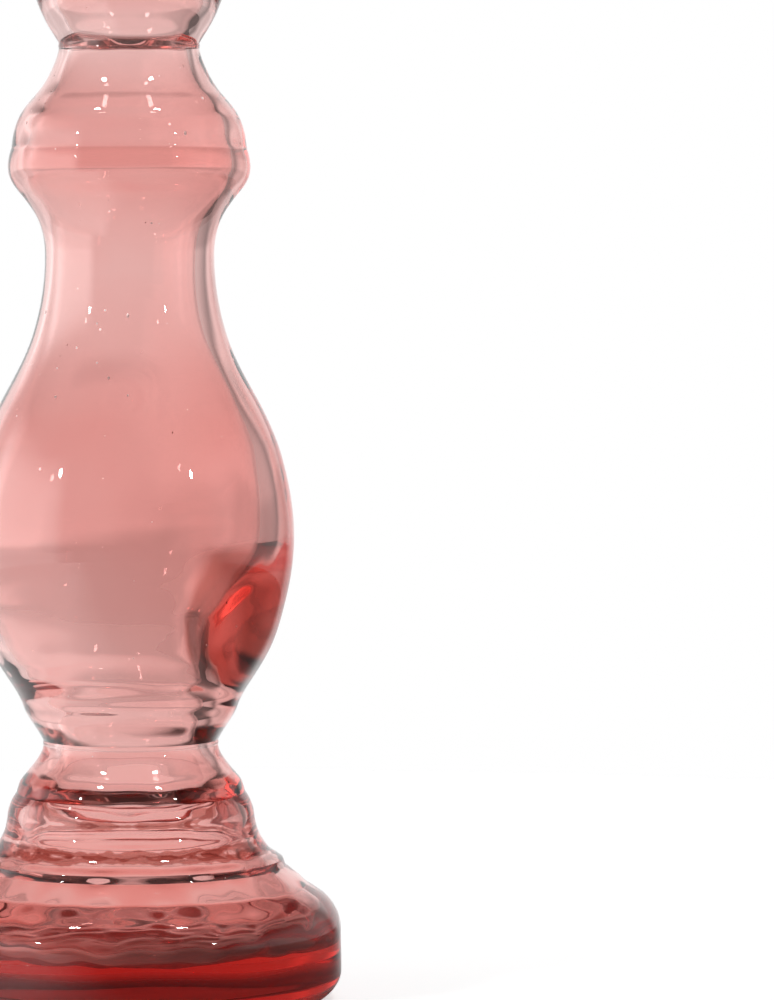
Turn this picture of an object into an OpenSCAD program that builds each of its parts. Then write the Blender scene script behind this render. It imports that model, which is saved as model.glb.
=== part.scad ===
// Hollow baluster candlestick in tinted glass, for one dinner candle.
// Five glass pieces stand on each other and are fused at two pinched waists:
// foot, lower ring, stem, upper ring, candle cup. All of them are turned shapes about Z,
// and one open hollow runs through them from the mouth down to the floor inside the foot.

/* [Foot] */
// Widest diameter of the foot
foot_d = 95; // [94:0.5:100]
// Height of the foot, up to the lower waist
foot_h = 57.6; // [57:0.1:60]
// Radius of the lower corner of the foot
foot_corner = 6.3; // [5:0.1:7]
// Radius of the ring that the foot stands on, at its inner edge
stand_r = 36; // [32:0.5:38]
// Height of the hollow under the foot
punt_h = 3; // [1:0.5:4]
// Thickness of the glass between the underside hollow and the inner floor
floor_t = 10; // [8:0.5:11]

/* [Stem] */
// Height of the stem between its two waists
stem_h = 155.3; // [154:0.1:158]
// Diameter of the belly
belly_d = 73.8; // [72:0.2:78]
// Diameter of the narrow neck above the belly
neck_d = 38; // [36:0.2:40]
// Diameter of the knop above the neck
knop_d = 54.4; // [53:0.2:58]

/* [Waists] */
// Diameter of the lower waist
lower_waist_d = 39.3; // [38:0.1:40]
// Diameter of the upper waist
upper_waist_d = 31.5; // [31:0.1:33]
// Height of each fused ring
ring_h = 1.1; // [0.8:0.1:1.6]

/* [Candle cup] */
// Height of the cup above the upper waist
cup_h = 32.9; // [32:0.1:36]
// Diameter of the cup where it swells
cup_d = 44.6; // [43:0.2:47]
// Diameter of the rim
rim_d = 41; // [40:0.2:44]

/* [Candle] */
// Diameter of the candle that the mouth holds
candle_d = 22; // [21:0.5:22.5]
// Gap all round the candle in the mouth
candle_gap = 0.4; // [0.2:0.05:0.5]
// How far the upper waist closes in under the candle, all round
candle_stop = 0.4; // [0.3:0.1:1]
// Length of the straight mouth
mouth_l = 9; // [6:0.5:10]

/* [Glass] */
// Wall thickness in the belly
belly_wall = 4; // [3.4:0.1:4.4]
// Wall thickness in the neck and below the upper waist
neck_wall = 2.9; // [2.6:0.1:3.4]
// Wall thickness in the upright tier of the foot
tier_wall = 3.6; // [3.2:0.1:4.2]
// Wall thickness in the drum of the foot
drum_wall = 5; // [4.6:0.1:5.6]
// Distance between the points along a curve
outline_step = 2; // [1:0.5:4]

/* [Hidden] */
$fn = 96;

foot_r = foot_d / 2;
lower_waist_r = lower_waist_d / 2;
upper_waist_r = upper_waist_d / 2;
lower_waist_wall = 4.1;
lower_bore_r = lower_waist_r - lower_waist_wall;
stem_bore_r = upper_waist_r - neck_wall;
upper_bore_r = candle_d / 2 - candle_stop;
mouth_r = candle_d / 2 + candle_gap;

// Where each piece starts, from the table up
lower_ring_z = foot_h;
stem_z = lower_ring_z + ring_h;
upper_ring_z = stem_z + stem_h;
cup_z = upper_ring_z + ring_h;

lip_r = 2.2;
lip_inner_r = 1.6;

// A curve is a list of stations [radius, height, heading, wall, heading out]. A heading is the
// direction in which the curve runs there, in degrees: 0 is outwards, 90 is up. The wall is the
// thickness of the glass there, or 0 where the inside doesn't follow the outside. A station that
// has a heading out is a crease: the curve leaves it in that direction. A station leaves out the
// last values that it doesn't need.
function heading(deg) = [cos(deg), sin(deg)];
function leave(s) = len(s) > 4 ? s[4] : s[2];

// Point at t from 0 to 1 on the smooth curve from station a to station b
function on_curve(a, b, t) =
    let (p = [a[0], a[1]], q = [b[0], b[1]], reach = norm(q - p))
    (2 * t ^ 3 - 3 * t ^ 2 + 1) * p + (t ^ 3 - 2 * t ^ 2 + t) * reach * heading(leave(a))
    + (3 * t ^ 2 - 2 * t ^ 3) * q + (t ^ 3 - t ^ 2) * reach * heading(b[2]);

// True where the way from station a to station b is a straight line in both headings
function is_straight(a, b) =
    let (way = atan2(b[1] - a[1], b[0] - a[0]))
    norm(heading(way) - heading(leave(a))) + norm(heading(way) - heading(b[2])) < 0.01;

// How many pieces the curve from a to b is cut into
function cuts(a, b) = is_straight(a, b) ? 1
    : max(3, round(norm([b[0] - a[0], b[1] - a[1]]) / outline_step));

// All the points along a curve, first and last included
function points_of(stations) = concat(
    [for (i = [0:len(stations) - 2])
        let (n = cuts(stations[i], stations[i + 1]))
        for (k = [0:n - 1]) on_curve(stations[i], stations[i + 1], k / n)],
    [[stations[len(stations) - 1][0], stations[len(stations) - 1][1]]]);

// The inside of a wall, from the top down, worked out from the stations of its outside
function lining(outside) =
    [for (i = [len(outside) - 1:-1:0])
        let (s = outside[i], lean = (s[2] + leave(s)) / 2)
        if (s[3] > 0) [s[0] - s[3] * sin(lean), s[1] + s[3] * cos(lean), lean + 180]];

// A turned solid between curves that straight lines join end to end
module turned(curves) {
    rotate_extrude()
        polygon([for (curve = curves) each points_of(curve)]);
}

// A drum with round corners, a slope with a ledge and a low riser half way up, an upright tier with
// another at its shoulder, and a flare up to the waist. The hollow runs down to a domed floor.
module foot() {
    floor_z = punt_h + floor_t;
    tier_r = 27.8;
    under = [
        [0, punt_h, 0],
        [stand_r * 0.6, punt_h * 0.8, -4],
        [stand_r, 0, -14]
    ];
    outside = [
        [foot_r - foot_corner, 0, 0],
        [foot_r, foot_corner, 90],
        [foot_r, 15.9, 90],
        [foot_r - 2.4, 22.0, 130],
        [39.9, 25.9, 147, 0, 137],
        [34.9, 30.1, 145, 0, 100],
        [34.3, 31.8, 102, 0, 138],
        [30.9, 34.3, 128],
        [28.6, 38.3, 109],
        [tier_r, 42.0, 95],
        [26.9, 45.1, 113],
        [25.8, 46.9, 126, 0, 104],
        [25.0, 49.4, 108, 0, 123],
        [21.6, 53.6, 126],
        [lower_waist_r, foot_h, 96]
    ];
    hollow = [
        [lower_bore_r, foot_h, 276],
        [18.0, 50.9, 308],
        [19.7, 48.9, 322],
        [24.0, 45.6, 325, 0, 278],
        [tier_r - tier_wall + 0.4, 36.4, 275],
        [26.6, 33.2, 312],
        [29.6, 30.6, 320],
        [36.2, 25.0, 321],
        [40.8, 21.4, 318],
        [foot_r - drum_wall, floor_z + 5.0, 268],
        [37.0, floor_z, 190],
        [0, floor_z + 1.4, 180]
    ];
    color([0.72, 0.26, 0.22, 0.8])
        turned([under, outside, hollow]);
}

// The thin fused ring that closes a waist, with a faintly rounded outside. Its bore is a cone
// between the hollows below and above it.
module waist_ring(z, waist_r, low_bore_r, high_bore_r) {
    bulge = 0.12;
    fall = atan2(-ring_h, low_bore_r - high_bore_r);
    turned([
        [[waist_r, z, 70], [waist_r + bulge, z + ring_h / 2, 90], [waist_r, z + ring_h, 110]],
        [[high_bore_r, z + ring_h, fall], [low_bore_r, z, fall]]
    ]);
}

module lower_ring() {
    color([0.86, 0.62, 0.59, 0.6])
        waist_ring(lower_ring_z, lower_waist_r, lower_bore_r, lower_bore_r);
}

module upper_ring() {
    color([0.86, 0.62, 0.59, 0.6])
        waist_ring(upper_ring_z, upper_waist_r, stem_bore_r, upper_bore_r);
}

// The baluster: a belly on a soft roll, a long shoulder up to the neck, and a knop with a crease
// above its widest line. The hollow follows it, in thicker glass at the bottom of the belly.
module stem() {
    belly_r = belly_d / 2;
    neck_r = neck_d / 2;
    knop_r = knop_d / 2;
    belly_z = stem_z + 46;
    neck_z = stem_z + 109;
    knop_z = stem_z + 128.8;
    knop_wall = 0.92 * belly_wall;
    outside = [
        [lower_waist_r, stem_z, 62, 0],
        [22.3, stem_z + 4.3, 56, 0],
        [24.1, stem_z + 7.7, 71, 0],
        [27.1, stem_z + 13.3, 56, 1.45 * belly_wall],
        [31.2, stem_z + 20.1, 63, 1.4 * belly_wall],
        [belly_r - 2.0, stem_z + 31.3, 76, 1.2 * belly_wall],
        [belly_r, belly_z, 90, belly_wall],
        [belly_r - 2.5, belly_z + 16.9, 105, 0.95 * belly_wall],
        [28.8, belly_z + 30.4, 118, 0.89 * belly_wall],
        [22.2, belly_z + 43.9, 109, 0.82 * belly_wall],
        [neck_r, neck_z, 90, neck_wall],
        [neck_r + 1.5, neck_z + 7.9, 67, neck_wall],
        [neck_r + 4.3, neck_z + 12.4, 53, 0],
        [knop_r - 0.6, knop_z - 2.9, 64, knop_wall],
        [knop_r, knop_z, 90, knop_wall],
        [knop_r - 0.8, knop_z + 4.1, 110, 0, 97],
        [25.7, knop_z + 8.4, 106, knop_wall],
        [23.6, knop_z + 12.9, 126, 0.9 * knop_wall],
        [19.9, knop_z + 17.4, 127, neck_wall],
        [17.3, knop_z + 21.9, 114, neck_wall],
        [upper_waist_r, upper_ring_z, 97, 0]
    ];
    stem_bore = [[stem_bore_r, upper_ring_z, 278]];
    throat = [
        [17.9, stem_z + 10.6, 253],
        [16.6, stem_z + 8.0, 236],
        [lower_bore_r + 0.2, stem_z + 5.6, 262],
        [lower_bore_r, stem_z, 270]
    ];
    color([0.90, 0.55, 0.52, 0.6])
        turned([outside, concat(stem_bore, lining(outside), throat)]);
}

// The cup swells above the waist, draws in below a rounded rim, and ends in a straight round
// mouth for the candle, whose foot comes to rest in the funnel just above the upper ring.
module candle_cup() {
    cup_r = cup_d / 2;
    rim_r = rim_d / 2;
    top_z = cup_z + cup_h;
    mouth_z = top_z - lip_inner_r - mouth_l;
    swell_z = cup_z + 16.2;
    outside = [
        [upper_waist_r, cup_z, 62],
        [17.8, cup_z + 3.3, 58],
        [20.9, cup_z + 10.0, 71],
        [cup_r, swell_z, 90],
        [cup_r - 2.2, swell_z + 5.6, 125],
        [rim_r - 2.3, top_z - 7.2, 90],
        [rim_r, top_z - lip_r, 90],
        [rim_r - lip_r, top_z, 180]
    ];
    socket = [
        [mouth_r + lip_inner_r, top_z, 180],
        [mouth_r, top_z - lip_inner_r, 270],
        [mouth_r, mouth_z, 270],
        [mouth_r + 5.2, mouth_z - 7.0, 277],
        [mouth_r + 4.9, cup_z + 9.0, 254],
        [mouth_r + 2.1, cup_z + 4.0, 238],
        [upper_bore_r, cup_z, 233]
    ];
    color([0.90, 0.60, 0.57, 0.6])
        turned([outside, socket]);
}

foot();
lower_ring();
stem();
upper_ring();
candle_cup();
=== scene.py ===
"""Looks for the glass candlestick: five glass pieces, each a closed turned mesh with real wall
thickness, wavy faces and seeds, standing on a pale floor in soft studio light."""

import math

import bpy
import numpy as np
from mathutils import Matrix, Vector


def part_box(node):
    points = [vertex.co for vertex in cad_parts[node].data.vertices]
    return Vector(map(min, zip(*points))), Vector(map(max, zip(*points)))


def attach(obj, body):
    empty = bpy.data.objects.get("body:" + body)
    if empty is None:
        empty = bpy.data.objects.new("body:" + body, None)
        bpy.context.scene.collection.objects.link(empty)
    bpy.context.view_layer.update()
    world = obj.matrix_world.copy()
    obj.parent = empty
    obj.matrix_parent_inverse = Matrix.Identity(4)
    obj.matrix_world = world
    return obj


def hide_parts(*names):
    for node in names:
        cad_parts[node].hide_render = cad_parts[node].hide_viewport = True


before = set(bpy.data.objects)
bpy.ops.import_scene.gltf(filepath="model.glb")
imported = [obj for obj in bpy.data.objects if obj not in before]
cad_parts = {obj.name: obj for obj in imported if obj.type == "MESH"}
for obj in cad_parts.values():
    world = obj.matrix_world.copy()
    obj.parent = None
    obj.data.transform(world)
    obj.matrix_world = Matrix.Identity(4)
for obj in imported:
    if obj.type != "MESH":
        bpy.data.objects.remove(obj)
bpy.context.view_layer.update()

MM = 0.001
SEGMENTS = 288     # points round each turned ring
RING_STEP = 0.6    # millimetres along an outline between two rings
OVERLAP = 0.012                           # millimetres by which fused pieces reach into each other
SHARP = math.radians(30)                  # edges that turn by more than this aren't smoothed


# ---------------------------------------------------------------- sizes from the frame, in mm

def low(node):
    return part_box(node)[0].z / MM


def high(node):
    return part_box(node)[1].z / MM


def widest(node):
    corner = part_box(node)[1]
    return max(corner.x, corner.y) / MM


RING_BULGE = 0.12                         # how far a fused ring swells past its waist
LOWER_WAIST_WALL = 4.1
LOWER_WAIST_R = widest("lower_ring") - RING_BULGE
LOWER_BORE_R = LOWER_WAIST_R - LOWER_WAIST_WALL
UPPER_WAIST_R = widest("upper_ring") - RING_BULGE
UPPER_BORE_R = 10.6
MOUTH_R = 11.4
NECK_WALL = 2.9


# ---------------------------------------------------------------- outlines
# A curve is a list of stations (radius, height, heading, wall, heading out), as in the CAD. A
# heading is the direction in which the curve runs, in degrees: 0 is outwards, 90 is up. A piece
# is a list of (face, stations), where the face is "out" or "in", and straight lines join them.

def station(radius, height, into, wall=0.0, out=None):
    return (radius, height, into, wall, into if out is None else out)


def heading(deg):
    return np.array([math.cos(math.radians(deg)), math.sin(math.radians(deg))])


def on_curve(a, b, t):
    """Point on the smooth curve from station a to station b."""
    p, q = np.array(a[:2]), np.array(b[:2])
    reach = np.linalg.norm(q - p)
    return ((2 * t ** 3 - 3 * t ** 2 + 1) * p + (t ** 3 - 2 * t ** 2 + t) * reach * heading(a[4])
            + (3 * t ** 2 - 2 * t ** 3) * q + (t ** 3 - t ** 2) * reach * heading(b[2]))


def points_of(stations):
    points = []
    for a, b in zip(stations, stations[1:]):
        count = max(1, round(math.dist(a[:2], b[:2]) / RING_STEP))
        points += [on_curve(a, b, k / count) for k in range(count)]
    return points + [np.array(stations[-1][:2])]


def lining(outside):
    """The inside of a wall, from the top down, worked out from the stations of its outside."""
    inside = []
    for radius, height, into, wall, out in reversed(outside):
        if wall > 0:
            lean = (into + out) / 2
            across = wall * heading(lean)
            inside.append(station(radius - across[1], height + across[0], lean + 180))
    return inside


def foot_curves():
    foot_r, top = widest("foot"), high("foot") + OVERLAP
    corner, punt, stand_r, floor_z = 6.3, 3.0, 36.0, 13.0
    tier_r, tier_wall, drum_wall = 27.8, 3.6, 5.0
    under = [
        station(0, punt, 0),
        station(stand_r * 0.6, punt * 0.8, -4),
        station(stand_r, 0, -14),
    ]
    outside = [
        station(foot_r - corner, 0, 0),
        station(foot_r, corner, 90),
        station(foot_r, 15.9, 90),
        station(foot_r - 2.4, 22.0, 130),
        station(39.9, 25.9, 147, 0, 137),
        station(34.9, 30.1, 145, 0, 100),
        station(34.3, 31.8, 102, 0, 138),
        station(30.9, 34.3, 128),
        station(28.6, 38.3, 109),
        station(tier_r, 42.0, 95),
        station(26.9, 45.1, 113),
        station(25.8, 46.9, 126, 0, 104),
        station(25.0, 49.4, 108, 0, 123),
        station(21.6, 53.6, 126),
        station(LOWER_WAIST_R, top, 96),
    ]
    hollow = [
        station(LOWER_BORE_R, top, 276),
        station(18.0, 50.9, 308),
        station(19.7, 48.9, 322),
        station(24.0, 45.6, 325, 0, 278),
        station(tier_r - tier_wall + 0.4, 36.4, 275),
        station(26.6, 33.2, 312),
        station(29.6, 30.6, 320),
        station(36.2, 25.0, 321),
        station(40.8, 21.4, 318),
        station(foot_r - drum_wall, floor_z + 5.0, 268),
        station(37.0, floor_z, 190),
        station(0, floor_z + 1.4, 180),
    ]
    return [("out", under), ("out", outside), ("in", hollow)]


def ring_curves(node, waist_r, low_bore_r, high_bore_r):
    bottom, top = low(node) - OVERLAP, high(node) + OVERLAP
    outside = [
        station(waist_r, bottom, 70),
        station(waist_r + RING_BULGE, (bottom + top) / 2, 90),
        station(waist_r, top, 110),
    ]
    fall = math.degrees(math.atan2(bottom - top, low_bore_r - high_bore_r))
    bore = [station(high_bore_r, top, fall), station(low_bore_r, bottom, fall)]
    return [("out", outside), ("in", bore)]


def stem_curves():
    z0 = low("stem")
    bottom, top = z0 - OVERLAP, high("stem") + OVERLAP
    belly_r, neck_r, knop_r = widest("stem"), 19.0, 27.2
    belly_wall, neck_wall = 4.0, NECK_WALL
    knop_wall = 0.92 * belly_wall
    belly_z, neck_z, knop_z = z0 + 46, z0 + 109, z0 + 128.8
    outside = [
        station(LOWER_WAIST_R, bottom, 62),
        station(22.3, z0 + 4.3, 56),
        station(24.1, z0 + 7.7, 71),
        station(27.1, z0 + 13.3, 56, 1.45 * belly_wall),
        station(31.2, z0 + 20.1, 63, 1.4 * belly_wall),
        station(belly_r - 2.0, z0 + 31.3, 76, 1.2 * belly_wall),
        station(belly_r, belly_z, 90, belly_wall),
        station(belly_r - 2.5, belly_z + 16.9, 105, 0.95 * belly_wall),
        station(28.8, belly_z + 30.4, 118, 0.89 * belly_wall),
        station(22.2, belly_z + 43.9, 109, 0.82 * belly_wall),
        station(neck_r, neck_z, 90, neck_wall),
        station(neck_r + 1.5, neck_z + 7.9, 67, neck_wall),
        station(neck_r + 4.3, neck_z + 12.4, 53),
        station(knop_r - 0.6, knop_z - 2.9, 64, knop_wall),
        station(knop_r, knop_z, 90, knop_wall),
        station(knop_r - 0.8, knop_z + 4.1, 110, 0, 97),
        station(25.7, knop_z + 8.4, 106, knop_wall),
        station(23.6, knop_z + 12.9, 126, 0.9 * knop_wall),
        station(19.9, knop_z + 17.4, 127, neck_wall),
        station(17.3, knop_z + 21.9, 114, neck_wall),
        station(UPPER_WAIST_R, top, 97),
    ]
    hollow = [station(UPPER_WAIST_R - NECK_WALL, top, 278)] + lining(outside) + [
        station(17.9, z0 + 10.6, 253),
        station(16.6, z0 + 8.0, 236),
        station(LOWER_BORE_R + 0.2, z0 + 5.6, 262),
        station(LOWER_BORE_R, bottom, 270),
    ]
    return [("out", outside), ("in", hollow)]


def cup_curves():
    z0, top = low("candle_cup"), high("candle_cup")
    bottom = z0 - OVERLAP
    cup_r, rim_r = widest("candle_cup"), 20.5
    lip, lip_inner, mouth_length = 2.2, 1.6, 9.0
    mouth_z = top - lip_inner - mouth_length
    swell_z = z0 + 16.2
    outside = [
        station(UPPER_WAIST_R, bottom, 62),
        station(17.8, z0 + 3.3, 58),
        station(20.9, z0 + 10.0, 71),
        station(cup_r, swell_z, 90),
        station(cup_r - 2.2, swell_z + 5.6, 125),
        station(rim_r - 2.3, top - 7.2, 90),
        station(rim_r, top - lip, 90),
        station(rim_r - lip, top, 180),
    ]
    socket = [
        station(MOUTH_R + lip_inner, top, 180),
        station(MOUTH_R, top - lip_inner, 270),
        station(MOUTH_R, mouth_z, 270),
        station(MOUTH_R + 5.2, mouth_z - 7.0, 277),
        station(MOUTH_R + 4.9, z0 + 9.0, 254),
        station(MOUTH_R + 2.1, z0 + 4.0, 238),
        station(UPPER_BORE_R, bottom, 233),
    ]
    return [("out", outside), ("in", socket)]


# ---------------------------------------------------------------- turned glass

def ripple(points, waves, seed):
    """A smooth field over space, mostly from -1 to 1: a sum of plane waves in all directions."""
    draw = np.random.default_rng(seed)
    total = np.zeros(len(points))
    count = 0
    for across, up, n in waves:
        for _ in range(n):
            turn = draw.uniform(0, 2 * math.pi)
            tilt = draw.uniform(-1, 1)
            level = math.sqrt(1 - tilt * tilt)
            k = 2 * math.pi * np.array([math.cos(turn) * level / across,
                                        math.sin(turn) * level / across, tilt / up])
            total += np.sin(points @ k + draw.uniform(0, 2 * math.pi))
            count += 1
    return total / math.sqrt(count / 2)


# Waves of the two faces, as (length in mm across, length in mm up, how many of them)
INNER_WAVES = [(30, 70, 10), (14, 50, 8), (8, 60, 4)]
OUTER_WAVES = [(45, 60, 8), (20, 30, 5)]
WAVE_FADE = 5.0                           # mm over which the waves fade in from a curve's end

# How far the hollow lies off centre towards -X, as (height in mm, mm)
HOLLOW_OFFSET = [(60, 0), (68, 0.8), (78, 2.4), (88, 3.0), (100, 2.4), (125, 1.2), (160, 0.8),
                 (185, 0.4), (205, 0)]
# The wall is thickest on the +X side low in the belly: by how much, at what height, and how far
# up and down, in mm. A higher THICK_FOCUS keeps it closer to the +X direction.
THICK_SIDE, THICK_HEIGHT, THICK_REACH, THICK_FOCUS = 5.8, 85, 8.5, 4
# Below this height, in mm, the faces of the foot are several times as wavy, from DRUM_FADE lower
DRUM_TOP, DRUM_FADE, DRUM_WAVINESS = 20, 3, 4


def eased(distance, reach):
    """0 at distance 0, rising smoothly to 1 at reach."""
    t = np.clip(distance / reach, 0, 1)
    return t * t * (3 - 2 * t)


def outline_of(curves, face_wave):
    """Points and outward normals along a piece's outline, and at each point the height of the
    waves in mm and whether it is on the inner face. The waves fade out towards the ends of each
    curve, so that fused faces and the standing ring stay flat."""
    points, normals, waves = [], [], []
    for face, stations in curves:
        run = np.array(points_of(stations))
        ahead = np.gradient(run, axis=0)
        normal = np.stack([ahead[:, 1], -ahead[:, 0]], axis=1)
        normal /= np.linalg.norm(normal, axis=1)[:, None]
        along = np.concatenate([[0], np.cumsum(np.linalg.norm(np.diff(run, axis=0), axis=1))])
        edge = np.minimum(along, along[-1] - along)
        size = face_wave[face] * eased(edge, WAVE_FADE)
        size = size * (1 + (DRUM_WAVINESS - 1) * eased(DRUM_TOP - run[:, 1], DRUM_FADE))
        points.append(run)
        normals.append(normal)
        waves.append(np.stack([size, np.full(len(run), face == "in")], axis=1))
    return np.vstack(points), np.vstack(normals), np.vstack(waves)


def turned(curves, inner_wave, outer_wave, seed):
    """A closed mesh turned from a piece's outline, with waves along its normals, in mm, and with
    its inner face moved off centre. A piece that starts on the axis is closed by two fans."""
    outline, normal, waves = outline_of(curves, {"in": inner_wave, "out": outer_wave})
    angle = np.arange(SEGMENTS) * 2 * math.pi / SEGMENTS
    spread = np.stack([np.cos(angle), np.sin(angle)], axis=1)

    def around(pairs):
        level = pairs[:, None, :1] * spread[None]
        up = np.repeat(pairs[:, None, 1:], SEGMENTS, axis=1)
        return np.concatenate([level, up], axis=2)

    points, outward = around(outline), around(normal)
    flat = points.reshape(-1, 3)
    shape = (len(outline), SEGMENTS)
    wave_in = ripple(flat, INNER_WAVES, seed).reshape(shape)
    wave_out = ripple(flat, OUTER_WAVES, seed + 1).reshape(shape)
    reach = waves[:, :1] * np.where(waves[:, 1:] > 0, wave_in, wave_out)
    points = points + outward * reach[:, :, None]
    inner = waves[:, 1] > 0
    up = outline[inner, 1]
    thick = THICK_SIDE * np.exp(-((up - THICK_HEIGHT) / THICK_REACH) ** 2)
    side = np.clip(np.cos(angle), 0, 1) ** THICK_FOCUS
    points[inner, :, 0] -= np.interp(up, *zip(*HOLLOW_OFFSET))[:, None] + thick[:, None] * side
    on_axis = outline[0][0] < 1e-6
    if not on_axis:
        verts = points.reshape(-1, 3)
        faces = bands(len(outline), wrap=True)
    else:
        first, last = points[0].mean(axis=0), points[-1].mean(axis=0)
        verts = np.vstack([points[1:-1].reshape(-1, 3), first, last])
        rings = len(outline) - 2
        faces = bands(rings, wrap=False)
        faces += fan(rings * SEGMENTS, 0, forward=True)
        faces += fan(rings * SEGMENTS + 1, (rings - 1) * SEGMENTS, forward=False)
    return verts, faces


def bands(rings, wrap):
    """Quads between neighbouring rings, and between the last and the first if it wraps."""
    faces = []
    for i in range(rings if wrap else rings - 1):
        a, b = i * SEGMENTS, ((i + 1) % rings) * SEGMENTS
        for j in range(SEGMENTS):
            k = (j + 1) % SEGMENTS
            faces.append((a + j, a + k, b + k, b + j))
    return faces


def fan(middle, base, forward):
    """Triangles from the point middle to the ring that starts at the point base."""
    faces = []
    for j in range(SEGMENTS):
        k = (j + 1) % SEGMENTS
        faces.append((middle, base + k, base + j) if forward else (middle, base + j, base + k))
    return faces


# ---------------------------------------------------------------- seeds: small bubbles in the wall

def seeds(curves, count, seed):
    """Small closed bubbles in the outer part of the wall, where the hollow never reaches. Sizes
    are radii in mm, and most of the bubbles are near the smallest."""
    thinnest_wall, smallest, spread = 2.4, 0.08, 0.27
    draw = np.random.default_rng(seed)
    outside = np.array(points_of(curves[0][1]))
    inside = np.array(points_of(curves[-1][1]))
    bubbles = []
    while len(bubbles) < count:
        out_at = outside[draw.integers(len(outside))]
        in_at = inside[np.argmin(np.linalg.norm(inside - out_at, axis=1))]
        wall = np.linalg.norm(out_at - in_at)
        size = smallest + spread * draw.uniform() ** 2
        if wall < thinnest_wall:
            continue
        middle = out_at + (in_at - out_at) * draw.uniform(0.2, 0.38)
        turn = draw.uniform(0, 2 * math.pi)
        centre = np.array([middle[0] * math.cos(turn), middle[0] * math.sin(turn), middle[1]])
        bubbles.append(bubble(centre, size, size * draw.uniform(1.0, 1.9)))
    return bubbles


def bubble(centre, radius, half_height):
    """A closed ball, drawn out upwards."""
    rows, columns = 6, 10
    verts = [centre + (0, 0, half_height)]
    for i in range(1, rows):
        down = math.pi * i / rows
        for j in range(columns):
            turn = 2 * math.pi * j / columns
            verts.append(centre + (radius * math.sin(down) * math.cos(turn),
                                   radius * math.sin(down) * math.sin(turn),
                                   half_height * math.cos(down)))
    verts.append(centre - (0, 0, half_height))
    last = len(verts) - 1
    faces = []
    for j in range(columns):
        k = (j + 1) % columns
        faces.append((0, 1 + k, 1 + j))
        for i in range(rows - 2):
            a, b = 1 + i * columns, 1 + (i + 1) * columns
            faces.append((a + j, a + k, b + k, b + j))
        base = 1 + (rows - 2) * columns
        faces.append((base + j, base + k, last))
    return verts, faces


def glass_piece(name, solid, bubbles):
    """One object of the turned glass, in material slot 0, and its bubbles, in slot 1."""
    verts, faces = list(solid[0]), list(solid[1])
    glass_faces = len(faces)
    for more_verts, more_faces in bubbles:
        start = len(verts)
        verts += more_verts
        faces += [tuple(start + i for i in face) for face in more_faces]
    mesh = bpy.data.meshes.new(name)
    mesh.from_pydata((np.array(verts) * MM).tolist(), [], faces)
    slots = np.zeros(len(faces), dtype=np.int32)
    slots[glass_faces:] = 1
    mesh.polygons.foreach_set("material_index", slots)
    mesh.shade_smooth()
    mesh.set_sharp_from_angle(angle=SHARP)
    piece = bpy.data.objects.new(name, mesh)
    bpy.context.scene.collection.objects.link(piece)
    return piece


# ---------------------------------------------------------------- materials

class Nodes:
    """Short calls for building one node tree."""

    def __init__(self, owner):
        owner.use_nodes = True
        self.tree = owner.node_tree
        self.tree.nodes.clear()

    def new(self, kind, **values):
        node = self.tree.nodes.new(kind)
        for key, value in values.items():
            setattr(node, key, value)
        return node

    def put(self, socket, value):
        if isinstance(value, bpy.types.NodeSocket):
            self.tree.links.new(value, socket)
        else:
            socket.default_value = value

    def math(self, operation, a, b=None):
        node = self.new("ShaderNodeMath", operation=operation)
        self.put(node.inputs[0], a)
        if b is not None:
            self.put(node.inputs[1], b)
        return node.outputs[0]

    def ramp(self, value, low, high, to_low, to_high):
        """Maps low..high to to_low..to_high smoothly, and holds the ends."""
        node = self.new("ShaderNodeMapRange", interpolation_type="SMOOTHSTEP")
        for socket, v in zip(("Value", "From Min", "From Max", "To Min", "To Max"),
                             (value, low, high, to_low, to_high)):
            self.put(node.inputs[socket], v)
        return node.outputs["Result"]

    def noise(self, coords, scale, detail=2.0):
        node = self.new("ShaderNodeTexNoise")
        self.put(node.inputs["Vector"], coords)
        node.inputs["Scale"].default_value = scale
        node.inputs["Detail"].default_value = detail
        return node.outputs["Fac"]


ABSORB_PER_M = (26.0, 128.0, 140.0)       # by red, green and blue, at a colour depth of 1
STAIN_PER_FACE = (0.15, 1.0, 1.09)        # by red, green and blue, at a strength of 1

# How strongly the faces are stained, as (height in mm, strength). The stain is thin at the waists.
STAIN = [
    (0, 1.00), (10, 1.05), (16, 1.10), (19, 0.70), (23, 0.62), (28, 0.56), (36, 0.40), (46, 0.40),
    (54, 0.48), (60, 0.30), (66, 0.30), (75, 0.42), (88, 0.64), (108, 0.80), (130, 0.80),
    (146, 0.62), (164, 0.54), (176, 0.62), (186.8, 0.74), (187.2, 0.90), (191.5, 0.90),
    (191.9, 0.70), (203, 0.62), (210, 0.48), (215, 0.38), (225, 0.55), (248, 0.55),
]


def stain(nodes, height):
    """The colour of the faces at each height: white where there is no stain, pink where it is
    strongest."""
    top = high("candle_cup")
    ramp = nodes.new("ShaderNodeValToRGB")
    stops = ramp.color_ramp.elements
    while len(stops) < len(STAIN):
        stops.new(0.5)
    for stop, (z, strength) in zip(stops, STAIN):
        stop.position = z / top
        stop.color = [math.exp(-strength * v / 2) for v in STAIN_PER_FACE] + [1]
    nodes.put(ramp.inputs["Fac"], nodes.math("DIVIDE", height, top * MM))
    return ramp.outputs["Color"]


def painted_shade_ring(nodes, coords, height):
    """1 in a ring of painted shade with torn edges round the foot of the tier, else 0: a dark band
    painted on the faces in place of the dark view through the glass there. Sizes in metres.
    """
    middle, half, torn = 0.0346, 0.0006, 0.0035
    tears = nodes.noise(coords, 240, 5)
    shift = nodes.math("MULTIPLY", nodes.math("SUBTRACT", tears, 0.5), torn)
    off = nodes.math("ABSOLUTE", nodes.math("SUBTRACT", nodes.math("ADD", height, shift), middle))
    return nodes.ramp(off, half, half * 1.6, 1.0, 0.0)


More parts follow.
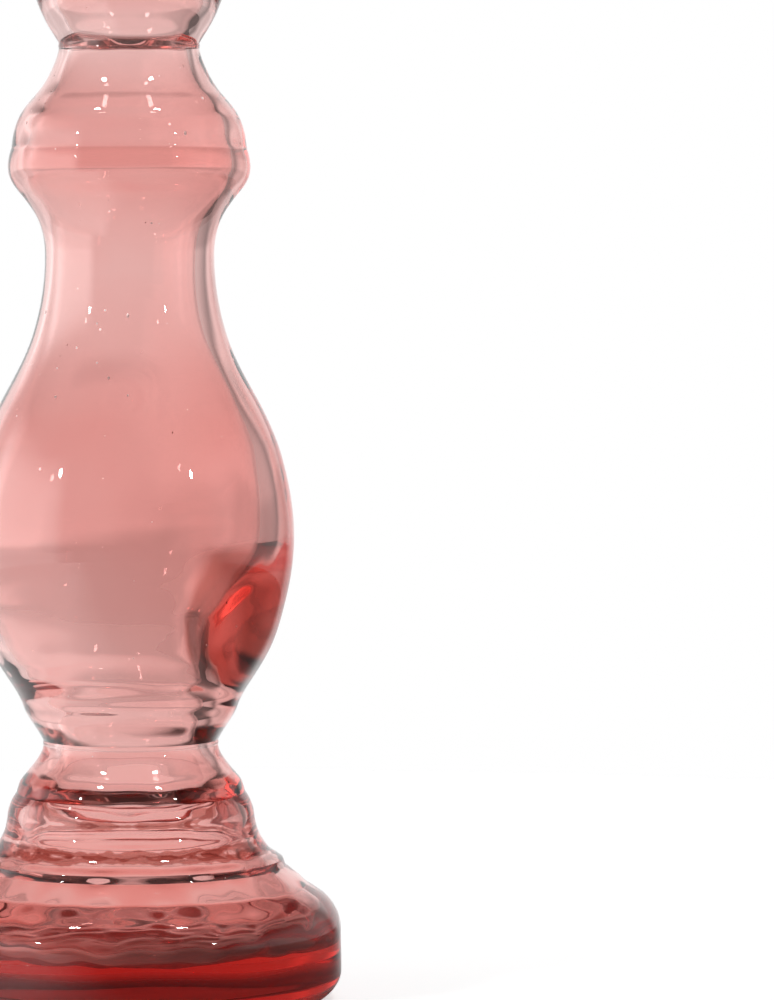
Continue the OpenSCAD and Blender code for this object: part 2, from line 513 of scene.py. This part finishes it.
def thick_patch(nodes, across, height):
    """1 where the belly's wall is thickest, low on its +X side, fading to 0 round it. Sizes in
    metres."""
    starts, full = 0.020, 0.026
    core, edge = 0.009, 0.016
    level = nodes.math("ABSOLUTE", nodes.math("SUBTRACT", height, THICK_HEIGHT * MM))
    return nodes.math("MULTIPLY", nodes.ramp(across, starts, full, 0.0, 1.0),
                      nodes.ramp(level, core, edge, 1.0, 0.0))


def darker(nodes, colour, where, shade):
    """The colour, multiplied by a shade as far as where is 1."""
    mix = nodes.new("ShaderNodeMix", data_type="RGBA", blend_type="MULTIPLY")
    nodes.put(mix.inputs["Factor"], where)
    nodes.put(mix.inputs["A"], colour)
    nodes.put(mix.inputs["B"], shade)
    return mix.outputs["Result"]


def glass(name, depth_of_colour, worn_height):
    """Pink glass, coloured by its thickness and by a stain on its faces, and darkened by a painted
    shade in a ring round the foot of the tier.
    The faces are fire-polished, with a faint orange peel, and rubbed below worn_height, in metres,
    where it stands."""
    material = bpy.data.materials.new(name)
    nodes = Nodes(material)
    coords = nodes.new("ShaderNodeTexCoord").outputs["Object"]
    split = nodes.new("ShaderNodeSeparateXYZ")
    nodes.put(split.inputs[0], coords)
    height = split.outputs["Z"]

    shader = nodes.new("ShaderNodeBsdfPrincipled")
    shader.inputs["Transmission Weight"].default_value = 1.0
    shader.inputs["IOR"].default_value = 1.5
    clouds = nodes.noise(coords, 38, 3)
    cloud_tint = (1, 0.97, 0.97, 1)
    # the first of these colours is painted shade, for the dark ring round the foot of the tier
    painted_ring_shade, patch_shade = (0.45, 0.18, 0.15, 1), (0.38, 0.17, 0.14, 1)
    tint = nodes.new("ShaderNodeMix", data_type="RGBA")
    nodes.put(tint.inputs["Factor"], nodes.ramp(clouds, 0.35, 0.65, 0.0, 1.0))
    tint.inputs["A"].default_value = cloud_tint
    tint.inputs["B"].default_value = (1, 1, 1, 1)
    colour = darker(nodes, stain(nodes, height), 1.0, tint.outputs["Result"])
    # painted shade: a ragged dark ring round the foot of the tier
    colour = darker(nodes, colour, painted_shade_ring(nodes, coords, height), painted_ring_shade)
    colour = darker(nodes, colour, thick_patch(nodes, split.outputs["X"], height), patch_shade)
    nodes.put(shader.inputs["Base Color"], colour)

    scuffed, ground = 0.30, 0.45              # roughness
    ground_top = 0.0032                       # the top of the ground underside, in metres
    rubbed = nodes.ramp(height, 0.0, worn_height, 1.0, 0.0)
    scuffs = nodes.ramp(nodes.noise(coords, 900, 4), 0.52, 0.68, 0.0, scuffed)
    ground_base = nodes.ramp(height, ground_top, ground_top + 0.0004, ground, 0.0)
    nodes.put(shader.inputs["Roughness"],
              nodes.math("MAXIMUM", ground_base, nodes.math("MULTIPLY", rubbed, scuffs)))
    bump = nodes.new("ShaderNodeBump")
    bump.inputs["Strength"].default_value = 0.05
    bump.inputs["Distance"].default_value = 0.0002
    nodes.put(bump.inputs["Height"], nodes.noise(coords, 160))
    nodes.put(shader.inputs["Normal"], bump.outputs["Normal"])

    # Volume Absorption takes away density * (1 - colour) per metre
    density = max(ABSORB_PER_M) * 1.02
    absorb = nodes.new("ShaderNodeVolumeAbsorption")
    absorb.inputs["Color"].default_value = [1 - v / density for v in ABSORB_PER_M] + [1]
    absorb.inputs["Density"].default_value = density * depth_of_colour
    out = nodes.new("ShaderNodeOutputMaterial")
    nodes.put(out.inputs["Surface"], shader.outputs["BSDF"])
    nodes.put(out.inputs["Volume"], absorb.outputs["Volume"])
    return material


def painted_seed_glint():
    """Painted glints: the inside of a tiny bubble glows with painted light, some brighter than
    others.
    """
    material = bpy.data.materials.new("painted_seed_glint")
    nodes = Nodes(material)
    coords = nodes.new("ShaderNodeTexCoord").outputs["Object"]
    shader = nodes.new("ShaderNodeBsdfPrincipled")
    shader.inputs["Base Color"].default_value = (1.0, 0.86, 0.83, 1)
    shader.inputs["Roughness"].default_value = 0.25
    shader.inputs["Emission Color"].default_value = (1.0, 0.90, 0.87, 1)
    painted_sparkle = nodes.noise(coords, 420)
    # painted highlight: emission that makes each bubble sparkle, stronger in some than in others
    nodes.put(shader.inputs["Emission Strength"], nodes.ramp(painted_sparkle, 0.4, 0.6, 0.1, 0.9))
    bump = nodes.new("ShaderNodeBump")
    bump.inputs["Strength"].default_value = 0.2
    bump.inputs["Distance"].default_value = 0.0001
    nodes.put(bump.inputs["Height"], nodes.noise(coords, 5000))
    nodes.put(shader.inputs["Normal"], bump.outputs["Normal"])
    nodes.put(nodes.new("ShaderNodeOutputMaterial").inputs["Surface"], shader.outputs["BSDF"])
    return material


# ---------------------------------------------------------------- studio

def see_through(nodes, path):
    """1 for light that has gone straight through the glass without a reflection, else 0."""
    straight = nodes.math("LESS_THAN", path.outputs["Glossy Depth"], 0.5)
    return nodes.math("MULTIPLY", straight, path.outputs["Is Transmission Ray"])


def studio_world():
    """A white backdrop behind the object, soft panels at its sides, a dim ceiling, and a dim room
    on the camera's side, which is only bright to a view through the glass from behind. Bearings
    are in degrees from straight behind, positive right."""
    world = bpy.data.worlds.new("studio")
    bpy.context.scene.world = world
    nodes = Nodes(world)
    split = nodes.new("ShaderNodeSeparateXYZ")
    nodes.put(split.inputs[0], nodes.new("ShaderNodeTexCoord").outputs["Generated"])
    bearing = nodes.math("DEGREES", nodes.math("ARCTAN2", split.outputs["X"], split.outputs["Y"]))
    rise = nodes.math("DEGREES", nodes.math("ARCSINE", split.outputs["Z"]))

    room, ceiling, below_horizon, from_behind = 0.14, 0.05, 0.70, 0.80
    # Bearing of the middle, half width, width of the soft edge, strength
    panels = [(-4, 32, 12, 0.86), (-56, 12, 10, 0.90), (-95, 26, 14, 1.80), (80, 26, 24, 0.60)]
    total = 0.0
    for middle, half, soft, strength in panels:
        away = nodes.math("ABSOLUTE", nodes.math("SUBTRACT", bearing, middle))
        total = nodes.math("ADD", total, nodes.ramp(away, half, half + soft, strength, 0.0))
    total = nodes.math("MULTIPLY", total, nodes.ramp(rise, 14, 32, 1.0, 0.0))
    total = nodes.math("MULTIPLY", total, nodes.ramp(rise, -6.0, -2.9, below_horizon, 1.0))
    total = nodes.math("ADD", total, nodes.ramp(rise, 20, 40, room, ceiling))
    path = nodes.new("ShaderNodeLightPath")
    ahead = nodes.ramp(nodes.math("ABSOLUTE", bearing), 100, 125, 0.0, from_behind)
    total = nodes.math("MAXIMUM", total, nodes.math("MULTIPLY", ahead, see_through(nodes, path)))
    total = nodes.math("MAXIMUM", total, path.outputs["Is Camera Ray"])
    background = nodes.new("ShaderNodeBackground")
    background.inputs["Color"].default_value = (1, 1, 1, 1)
    nodes.put(background.inputs["Strength"], total)
    out = nodes.new("ShaderNodeOutputWorld")
    nodes.put(out.inputs["Surface"], background.outputs[0])


def floor():
    """A round white table. It glows away from the object, so that it shows no shadow. To every
    ray but the camera's it is darker in front, at the right and far away, and a view through the
    glass from behind finds its front bright. Sizes in metres."""
    radius, under_foot, corners = 0.5, 0.00005, 96
    white, front, far_off, from_behind = 0.9, 0.14, 0.74, 0.80
    glow_under, glow_around = 0.30, 0.74
    angles = [2 * math.pi * k / corners for k in range(corners)]
    mesh = bpy.data.meshes.new("floor")
    mesh.from_pydata([(radius * math.cos(a), radius * math.sin(a), 0) for a in angles], [],
                     [tuple(range(corners))])
    ground = bpy.data.objects.new("floor", mesh)
    bpy.context.scene.collection.objects.link(ground)
    material = bpy.data.materials.new("floor_white")
    nodes = Nodes(material)
    coords = nodes.new("ShaderNodeTexCoord").outputs["Object"]
    away = nodes.new("ShaderNodeVectorMath", operation="LENGTH")
    nodes.put(away.inputs[0], coords)
    glow = nodes.ramp(away.outputs["Value"], 0.038, 0.048, glow_under, glow_around)
    split = nodes.new("ShaderNodeSeparateXYZ")
    nodes.put(split.inputs[0], coords)
    x, y = split.outputs["X"], split.outputs["Y"]
    behind = nodes.math("SUBTRACT", y, nodes.math("MULTIPLY", x, 1.5))
    near = nodes.ramp(behind, -0.10, 0.05, front, 1.0)
    far = nodes.ramp(away.outputs["Value"], 0.24, 0.42, 1.0, far_off)
    path = nodes.new("ShaderNodeLightPath")
    ahead = nodes.ramp(y, -0.12, -0.06, from_behind, 0.0)
    lit = nodes.math("MAXIMUM", nodes.math("MULTIPLY", near, far),
                     nodes.math("MULTIPLY", ahead, see_through(nodes, path)))
    lit = nodes.math("MAXIMUM", lit, path.outputs["Is Camera Ray"])
    shader = nodes.new("ShaderNodeBsdfPrincipled")
    grey = nodes.new("ShaderNodeCombineColor")
    for channel in grey.inputs:
        nodes.put(channel, nodes.math("MULTIPLY", lit, white))
    nodes.put(shader.inputs["Base Color"], grey.outputs["Color"])
    shader.inputs["Roughness"].default_value = 0.7
    shader.inputs["Emission Color"].default_value = (1, 1, 1, 1)
    nodes.put(shader.inputs["Emission Strength"], nodes.math("MULTIPLY", glow, lit))
    nodes.put(nodes.new("ShaderNodeOutputMaterial").inputs["Surface"], shader.outputs[0])
    mesh.materials.append(material)
    ground.location.z = -under_foot


def aim(thing, target):
    thing.rotation_euler = (Vector(target) - thing.location).to_track_quat("-Z", "Y").to_euler()


def lamp(name, bearing, rise, radius, radiance):
    """A small round soft light. Bearing 0 is the camera's side, positive right, in degrees."""
    distance, target = 1.4, Vector((0, 0, 0.12))
    data = bpy.data.lights.new(name, "AREA")
    data.shape = "DISK"
    data.size = 2 * radius
    data.energy = radiance * math.pi * math.pi * radius ** 2
    light = bpy.data.objects.new(name, data)
    bpy.context.scene.collection.objects.link(light)
    a, e = math.radians(bearing), math.radians(rise)
    way = Vector((math.sin(a) * math.cos(e), -math.cos(a) * math.cos(e), math.sin(e)))
    light.location = target + distance * way
    aim(light, target)


def camera():
    """In front of the object and turned right, so that it stands at the left of the frame."""
    distance, eye_height = 1.0986, 0.1655     # metres
    pitch, yaw = 2.757, 3.015                 # degrees down, and right
    data = bpy.data.cameras.new("camera")
    data.lens = 175.7                         # millimetres, as the sensor is
    data.sensor_width = 36
    view = bpy.data.objects.new("camera", data)
    bpy.context.scene.collection.objects.link(view)
    view.location = (0, -distance, eye_height)
    view.rotation_euler = (math.radians(90 - pitch), 0, -math.radians(yaw))
    bpy.context.scene.camera = view


# ---------------------------------------------------------------- the object

def build():
    lower = ring_curves("lower_ring", LOWER_WAIST_R, LOWER_BORE_R, LOWER_BORE_R)
    upper = ring_curves("upper_ring", UPPER_WAIST_R, UPPER_WAIST_R - NECK_WALL, UPPER_BORE_R)
    # name, CAD node, curves, waviness inside and outside in mm, seeds, colour depth, slot
    plan = [
        ("foot_glass_body", "foot", foot_curves(), 0.10, 0.02, 14, 0.36, "foot_glass"),
        ("lower_ring_glass", "lower_ring", lower, 0, 0, 0, 0.2, "ring_glass"),
        ("stem_glass_body", "stem", stem_curves(), 0.055, 0.02, 110, 0.25, "stem_glass"),
        ("upper_ring_glass", "upper_ring", upper, 0, 0, 0, 0.15, "ring_glass"),
        ("cup_glass_body", "candle_cup", cup_curves(), 0.06, 0.02, 8, 0.15, "cup_glass"),
    ]
    painted_glint = painted_seed_glint()
    for number, (name, node, curves, inner, outer, count, depth, slot) in enumerate(plan):
        seed = 11 + 10 * number
        solid = turned(curves, inner, outer, seed)
        wall_curves = [curves[-2], curves[-1]]
        piece = glass_piece(name, solid, seeds(wall_curves, count, seed + 5))
        piece.data.materials.append(glass(name + "_pink", depth, worn_height=0.004))
        if count:
            # slot 1: the painted glints of the bubbles
            piece.data.materials.append(painted_glint)
        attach(piece, "root")
        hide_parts(node)


build()
floor()
studio_world()
LAMP_RADIANCE = 60
for side, bearing in (("left", -54), ("right", 47)):
    lamp("low_lamp_" + side, bearing, rise=22, radius=0.032, radiance=LAMP_RADIANCE)
    lamp("high_lamp_" + side, bearing, rise=62, radius=0.06, radiance=LAMP_RADIANCE)
camera()
scene = bpy.context.scene
scene.view_settings.view_transform = "Standard"
scene.cycles.max_bounces = 32
scene.cycles.transmission_bounces = 32
scene.cycles.glossy_bounces = 16
